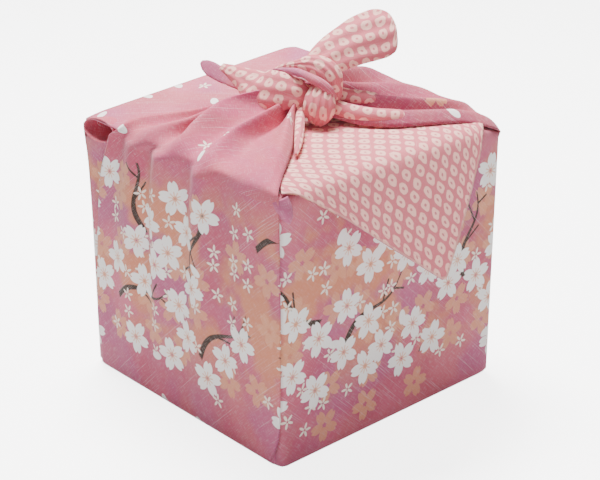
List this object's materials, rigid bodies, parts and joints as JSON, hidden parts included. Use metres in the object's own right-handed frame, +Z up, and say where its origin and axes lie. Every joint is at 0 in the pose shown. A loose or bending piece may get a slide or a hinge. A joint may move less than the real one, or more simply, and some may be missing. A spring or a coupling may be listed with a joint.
{
  "type": "furoshiki wrap",
  "caption": "Square wrapping cloth folded and knotted round a box shape, with one corner folded back as a flap, two short tails at the knot, and a flat underside.",
  "frame": {"origin": "centre of the flat underside", "axes": "+Z up; -Y is the side with the hanging flap, and the two gathered sides are -X and +X"},
  "size_m": [0.1765, 0.2183, 0.2271],
  "materials": {
    "mauve_cotton": "woven slub cotton, printed on both sides"
  },
  "bodies": {
    "root": {"furoshiki": "mauve_cotton"}
  },
  "joints": []
}
